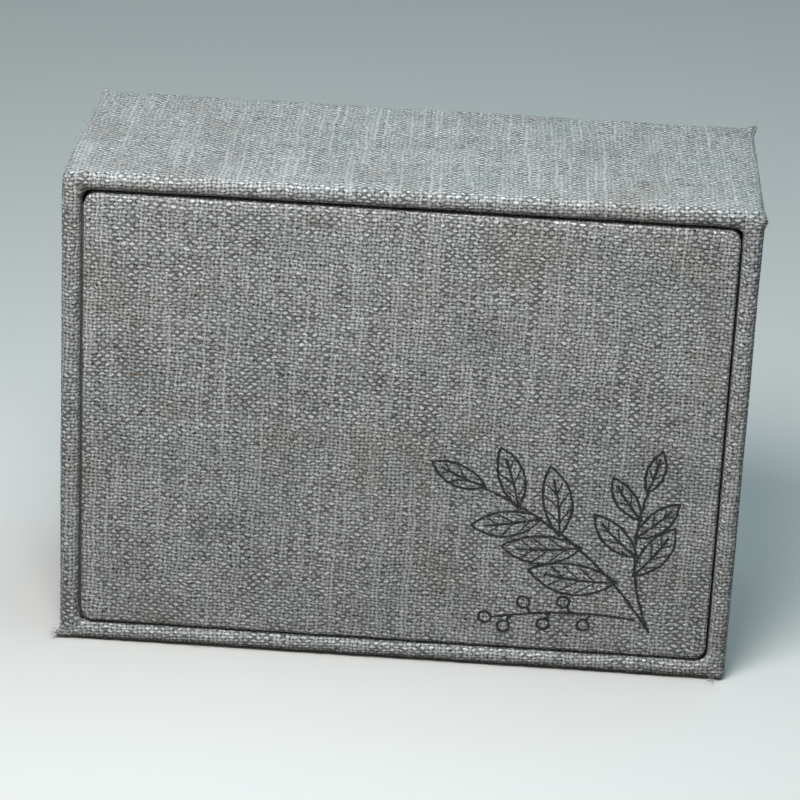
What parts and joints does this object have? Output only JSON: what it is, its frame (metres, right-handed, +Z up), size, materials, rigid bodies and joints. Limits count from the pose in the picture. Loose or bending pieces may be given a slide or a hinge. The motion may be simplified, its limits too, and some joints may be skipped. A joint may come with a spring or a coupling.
{
  "type": "sliding drawer gift box",
  "caption": "Cloth-covered board gift box: an open-ended sleeve with an open-topped drawer that slides out through either end.",
  "frame": {"origin": "middle of the sleeve's footprint, on the surface that the box stands on", "axes": "+X to the right along the width, +Y to the back along the drawer's travel, +Z up; the front is -Y"},
  "size_m": [0.13, 0.054, 0.096],
  "materials": {
    "linen_cloth": "grey-beige plain-weave linen book cloth, matt",
    "grey_board": "unbleached grey board, matt",
    "lining_paper": "uncoated warm grey lining paper",
    "gummed_tape": "brown gummed kraft tape"
  },
  "bodies": {
    "sleeve": {"sleeve_top_board": "grey_board", "sleeve_bottom_board": "grey_board", "sleeve_left_board": "grey_board", "sleeve_right_board": "grey_board", "sleeve_bottom_left_corner_tape": "gummed_tape", "sleeve_bottom_right_corner_tape": "gummed_tape", "sleeve_top_left_corner_tape": "gummed_tape", "sleeve_top_right_corner_tape": "gummed_tape", "sleeve_cloth": "linen_cloth", "sleeve_lining": "lining_paper"},
    "drawer": {"drawer_front_board": "grey_board", "drawer_back_board": "grey_board", "drawer_left_board": "grey_board", "drawer_right_board": "grey_board", "drawer_floor_board": "grey_board", "drawer_front_left_corner_tape": "gummed_tape", "drawer_front_right_corner_tape": "gummed_tape", "drawer_back_left_corner_tape": "gummed_tape", "drawer_back_right_corner_tape": "gummed_tape", "drawer_cloth": "linen_cloth", "drawer_base_cover": "lining_paper", "drawer_wall_lining": "lining_paper", "drawer_floor_lining": "lining_paper"}
  },
  "joints": [
    {"name": "drawer_slide", "type": "slide", "parent": "sleeve", "child": "drawer", "axis": [0, -1, 0], "range_m": [-0.05, 0.05]}
  ]
}
